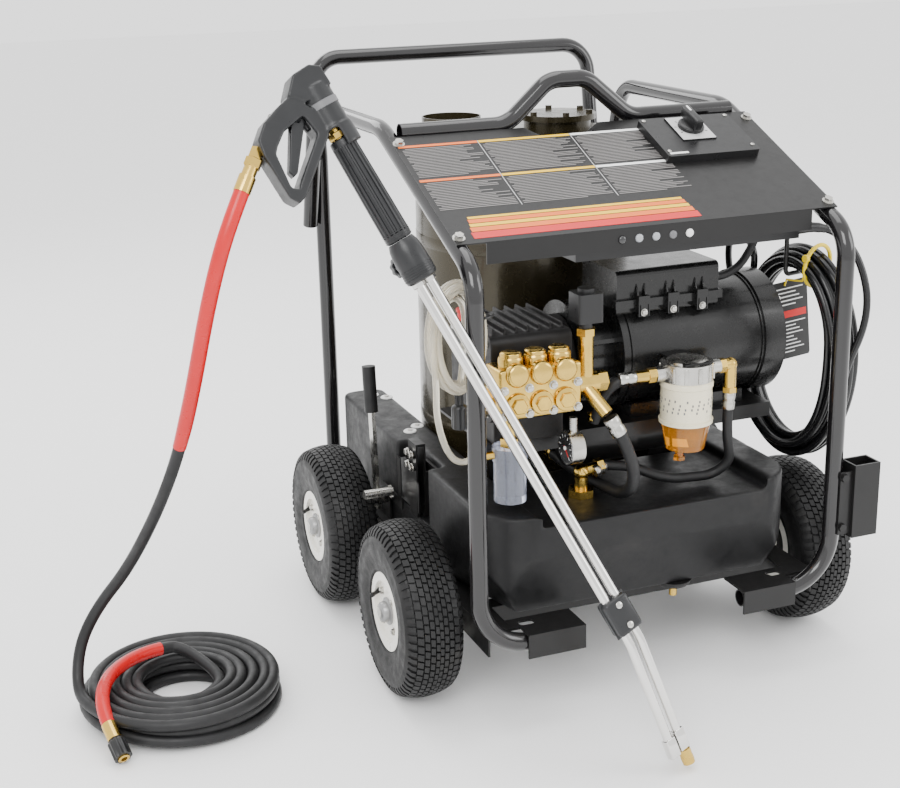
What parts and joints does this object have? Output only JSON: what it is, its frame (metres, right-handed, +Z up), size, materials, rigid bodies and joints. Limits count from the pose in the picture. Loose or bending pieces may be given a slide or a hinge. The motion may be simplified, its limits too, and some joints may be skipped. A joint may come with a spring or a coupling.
{
  "type": "pressure washer",
  "caption": "Electric hot-water pressure washer on a bent-tube wheeled cart: upright heater, motor-driven pump, black tank, sloped control panel, spray gun and long hose.",
  "frame": {"origin": "centre of the bounding box of the machine and the lance leaning on it, without the free hoses and cords, at floor level", "axes": "+Z up from the floor the wheels stand on; +X to the right seen from the control panel side; +Y from the control panel to the push handle"},
  "size_m": [1.1799, 0.9869, 0.9411],
  "materials": {
    "black_tube": "gloss black powder coat",
    "black_steel": "semi-gloss black powder coat",
    "motor_black": "satin black enamel",
    "dark_casting": "dark cast finish",
    "olive_steel": "satin olive bronze enamel",
    "zinc": "zinc plated",
    "chrome": "polished plating",
    "brass": "machined brass",
    "black_poly": "moulded polyethylene, fine grain",
    "black_plastic": "satin moulded plastic",
    "gun_plastic": "satin moulded plastic",
    "cream": "gloss enamel with a plain label",
    "amber": "clear amber moulding",
    "clear_blue": "clear bluish moulding",
    "hose_rubber": "smooth rubber cover",
    "red_sleeve": "red smooth cover",
    "cord_pvc": "smooth cord jacket",
    "clear_vinyl": "clear vinyl",
    "label_black": "printed card",
    "lamp_grey": "lens",
    "tyre": "treaded rubber",
    "rim_white": "off-white enamel"
  },
  "bodies": {
    "cart": {"side_tube_left": "black_tube", "side_tube_right": "black_tube", "push_handle": "black_tube", "lift_arch": "black_tube", "base_frame": "black_steel", "axles": "zinc", "tank": "black_poly", "heater_shell": "olive_steel", "heater_lid": "olive_steel", "burner_housing": "black_steel", "motor_body": "motor_black", "motor_cover": "motor_black", "pump_crankcase": "dark_casting", "pump_head": "brass", "pressure_switch": "black_plastic", "machine_shelf": "black_steel", "filter_head": "zinc", "filter_canister": "cream", "filter_bowl": "amber", "brass_fittings": "brass", "strainer_bowl": "clear_blue", "pressure_gauge": "zinc", "hoses": "hose_rubber", "control_panel": "black_steel", "switch_housings": "black_plastic", "status_lights": "lamp_grey", "fasteners": "zinc", "brake_bracket": "black_steel", "side_brackets": "black_steel", "lance_pipes": "chrome", "lance_mouldings": "gun_plastic", "gun_body": "gun_plastic", "hose_run": "hose_rubber", "hose_coil": "hose_rubber", "hose_tail": "red_sleeve", "hose_connector": "zinc", "power_cord_run": "cord_pvc", "power_cord_hank": "cord_pvc", "power_plug": "cord_pvc", "cord_tag": "label_black", "clear_tube_run": "clear_vinyl", "clear_tube_hank": "clear_vinyl", "siphon_strainer": "black_plastic"},
    "wheel_front_left": {"tyre_front_left": "tyre", "rim_front_left": "rim_white"},
    "wheel_front_right": {"tyre_front_right": "tyre", "rim_front_right": "rim_white"},
    "wheel_rear_left": {"tyre_rear_left": "tyre", "rim_rear_left": "rim_white"},
    "wheel_rear_right": {"tyre_rear_right": "tyre", "rim_rear_right": "rim_white"},
    "parking_brake": {"brake_lever": "zinc", "brake_grip": "hose_rubber"},
    "trigger": {"gun_trigger": "gun_plastic"},
    "rotary_switch": {"switch_knob": "black_plastic"},
    "lance_control": {"valve_knob": "gun_plastic"},
    "motor_shaft": {"motor_rotor": "zinc", "pump_crankshaft": "zinc"},
    "blower_fan": {"blower_wheel": "zinc"},
    "filler_cap": {"fuel_cap": "black_plastic"}
  },
  "joints": [
    {"name": "spin_front_left", "type": "hinge", "parent": "cart", "child": "wheel_front_left", "pos_m": [-0.2309, -0.1192, 0.132], "axis": [1, 0, 0], "continuous": true},
    {"name": "spin_front_right", "type": "hinge", "parent": "cart", "child": "wheel_front_right", "pos_m": [0.4221, -0.1192, 0.132], "axis": [1, 0, 0], "continuous": true},
    {"name": "spin_rear_left", "type": "hinge", "parent": "cart", "child": "wheel_rear_left", "pos_m": [-0.2309, 0.2413, 0.132], "axis": [1, 0, 0], "continuous": true},
    {"name": "spin_rear_right", "type": "hinge", "parent": "cart", "child": "wheel_rear_right", "pos_m": [0.4221, 0.2413, 0.132], "axis": [1, 0, 0], "continuous": true},
    {"name": "brake_pivot", "type": "hinge", "parent": "cart", "child": "parking_brake", "pos_m": [-0.1744, 0.1808, 0.185], "axis": [1, 0, 0], "range_deg": [0, 46]},
    {"name": "trigger_pull", "type": "hinge", "parent": "cart", "child": "trigger", "pos_m": [-0.38745, -0.2034, 0.86196], "axis": [-0.0567, 0.9281, -0.368], "range_deg": [0, 12], "stiffness_Nm_per_rad": 2, "springref_deg": -5.73},
    {"name": "switch_turn", "type": "hinge", "parent": "cart", "child": "rotary_switch", "pos_m": [0.2576, -0.05597, 0.781], "axis": [0, -0.3907, 0.9205], "range_deg": [-90, 0]},
    {"name": "lance_valve_turn", "type": "hinge", "parent": "cart", "child": "lance_control", "pos_m": [-0.26241, -0.26595, 0.68494], "axis": [-0.0567, 0.9281, -0.368], "range_deg": [0, 90]},
    {"name": "motor_spin", "type": "hinge", "parent": "cart", "child": "motor_shaft", "pos_m": [0.1956, -0.0942, 0.484], "axis": [1, 0, 0], "continuous": true},
    {"name": "blower_spin", "type": "hinge", "parent": "cart", "child": "blower_fan", "pos_m": [0.0956, -0.0942, 0.344], "axis": [1, 0, 0], "continuous": true},
    {"name": "cap_twist", "type": "hinge", "parent": "cart", "child": "filler_cap", "pos_m": [0.3086, 0.3328, 0.31], "axis": [0, 0, 1], "range_deg": [0, 90]}
  ]
}
